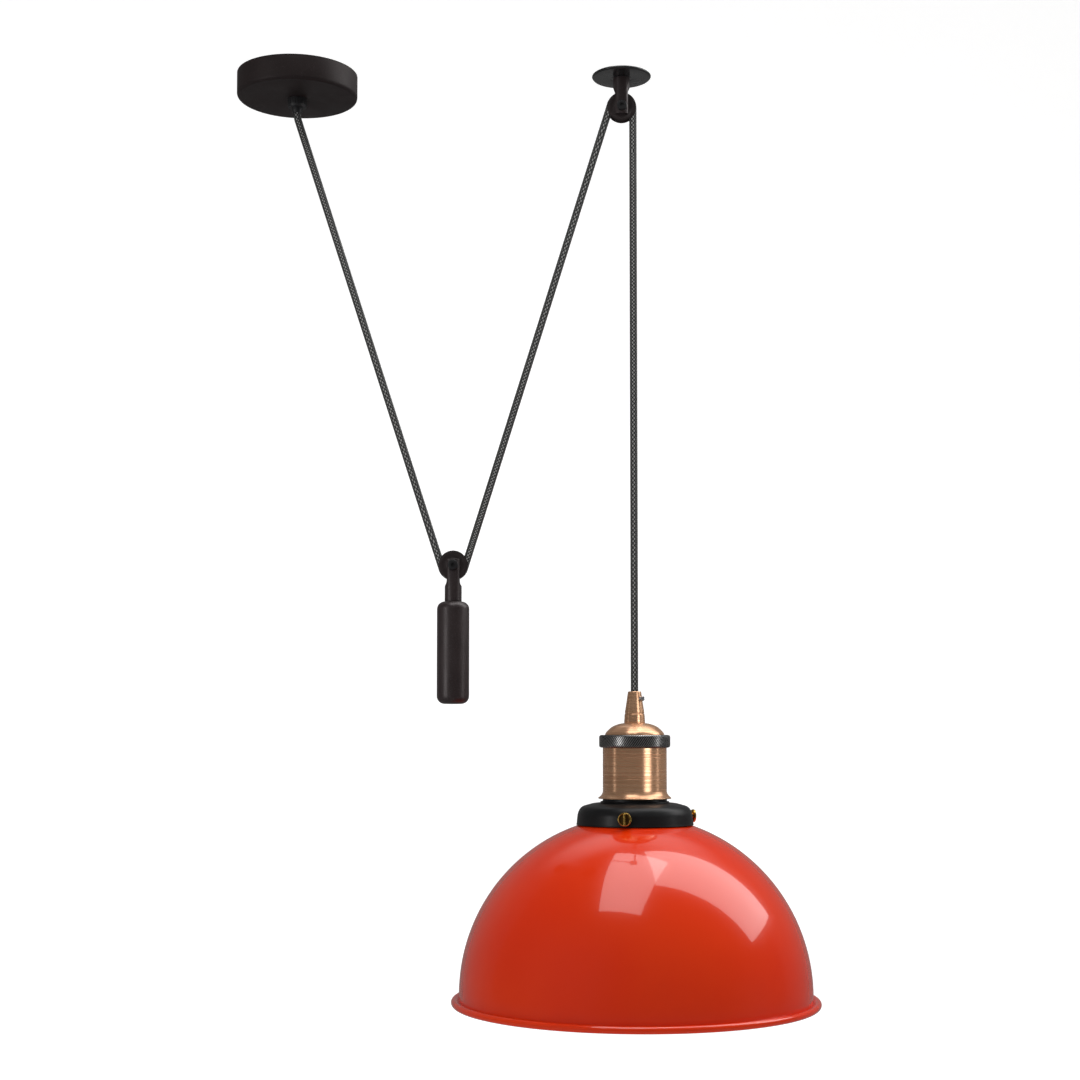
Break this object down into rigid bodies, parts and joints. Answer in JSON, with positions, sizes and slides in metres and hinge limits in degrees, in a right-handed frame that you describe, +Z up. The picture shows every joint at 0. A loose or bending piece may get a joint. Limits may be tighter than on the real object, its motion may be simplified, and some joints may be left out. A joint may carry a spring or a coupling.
{
  "type": "rise and fall pendant",
  "caption": "Rise and fall pendant: enamel dome shade on a braided cord, looped through a hanging weight and a ceiling pulley.",
  "frame": {"origin": "middle of the rose's face on the ceiling", "axes": "+Z up, square to the ceiling; +X from the rose to the ceiling pulley; -Y towards the viewer"},
  "size_m": [0.4807, 0.3, 0.7703],
  "materials": {
    "satin_bronze": "satin dark bronze, faint purple-brown sheen",
    "wheel_bronze": "satin dark bronze",
    "zinc_steel": "plain zinc-plated steel",
    "black_steel": "satin black paint",
    "black_plastic": "moulded, matte",
    "white_plastic": "moulded",
    "brass": "polished",
    "copper": "brushed copper plate with turning lines",
    "gunmetal": "dark plated steel, diamond knurl",
    "porcelain": "white glaze",
    "braid": "braided fabric sleeve, black with grey flecks",
    "brown_core": "insulated core",
    "blue_core": "insulated core",
    "earth_core": "insulated core",
    "orange_enamel": "high-gloss orange-red enamel"
  },
  "bodies": {
    "ceiling": {"rose_cover": "satin_bronze", "rose_bracket": "zinc_steel", "rose_grub_screws": "zinc_steel", "rose_terminal_block": "white_plastic", "rose_terminal_screws": "brass", "rose_earth_screw": "zinc_steel", "rose_live_core": "brown_core", "rose_neutral_core": "blue_core", "rose_earth_core": "earth_core", "gland_body": "black_plastic", "gland_collar": "black_plastic", "gland_lock_nut": "black_plastic", "ceiling_plate": "black_steel", "ceiling_fork": "satin_bronze", "ceiling_spacers": "zinc_steel", "ceiling_axle_bolt": "black_steel", "ceiling_axle_nut": "black_steel", "cord_loop": "braid", "cord_over": "braid"},
    "ceiling_wheel": {"ceiling_wheel": "wheel_bronze"},
    "weight": {"travel_fork": "satin_bronze", "travel_spacers": "zinc_steel", "travel_axle_bolt": "black_steel", "travel_axle_nut": "black_steel", "weight_casing": "satin_bronze", "weight_bolt": "zinc_steel"},
    "travel_wheel": {"travel_wheel": "wheel_bronze"},
    "drop": {"cord_drop": "braid"},
    "lamp": {"cord_grip": "copper", "grip_set_screw": "zinc_steel", "grip_nipple": "zinc_steel", "nipple_lock_nut": "zinc_steel", "holder_cap": "copper", "knurled_ring": "gunmetal", "holder_body": "copper", "holder_flare": "copper", "neck_ring": "black_steel", "insulator": "porcelain", "lamp_terminal_screws": "brass", "screw_shell": "brass", "centre_contact": "brass", "socket_sleeve": "black_plastic", "gallery": "black_steel", "gallery_lock_ring": "black_steel", "shade": "orange_enamel", "lamp_live_core": "brown_core", "lamp_neutral_core": "blue_core", "lamp_earth_core": "earth_core"},
    "thumb_front": {"thumb_screw_front": "brass"},
    "thumb_right": {"thumb_screw_right": "brass"},
    "thumb_left": {"thumb_screw_left": "brass"}
  },
  "joints": [
    {"name": "lamp_swing", "type": "hinge", "parent": "ceiling", "child": "drop", "pos_m": [0.2807, 0, -0.0275], "axis": [1, 0, 0], "range_deg": [-12, 12]},
    {"name": "lamp_rise", "type": "slide", "parent": "drop", "child": "lamp", "axis": [0, 0, 1], "range_m": [-0.3, 0.11], "deforming": ["cord_drop"]},
    {"name": "weight_travel", "type": "slide", "parent": "ceiling", "child": "weight", "axis": [0, 0, 1], "range_m": [-0.05885, 0.1605], "deforming": ["cord_loop"]},
    {"name": "ceiling_wheel_turn", "type": "hinge", "parent": "ceiling", "child": "ceiling_wheel", "pos_m": [0.2712, 0, -0.0275], "axis": [0, 1, 0], "continuous": true},
    {"name": "travel_wheel_turn", "type": "hinge", "parent": "weight", "child": "travel_wheel", "pos_m": [0.1315, 0, -0.4117], "axis": [0, 1, 0], "continuous": true},
    {"name": "thumb_front_turn", "type": "hinge", "parent": "lamp", "child": "thumb_front", "pos_m": [0.2807, 0, -0.6181], "axis": [-0.2079, -0.9781, 0], "continuous": true},
    {"name": "thumb_right_turn", "type": "hinge", "parent": "lamp", "child": "thumb_right", "pos_m": [0.2807, 0, -0.6181], "axis": [0.9511, 0.309, 0], "continuous": true},
    {"name": "thumb_left_turn", "type": "hinge", "parent": "lamp", "child": "thumb_left", "pos_m": [0.2807, 0, -0.6181], "axis": [-0.7431, 0.6691, 0], "continuous": true}
  ],
  "couplings": [
    {"joint": "weight_travel", "follows": "lamp_rise", "ratio": -0.535},
    {"joint": "ceiling_wheel_turn", "follows": "lamp_rise", "rad_per_m": -105.26},
    {"joint": "travel_wheel_turn", "follows": "lamp_rise", "rad_per_m": 53.7}
  ]
}
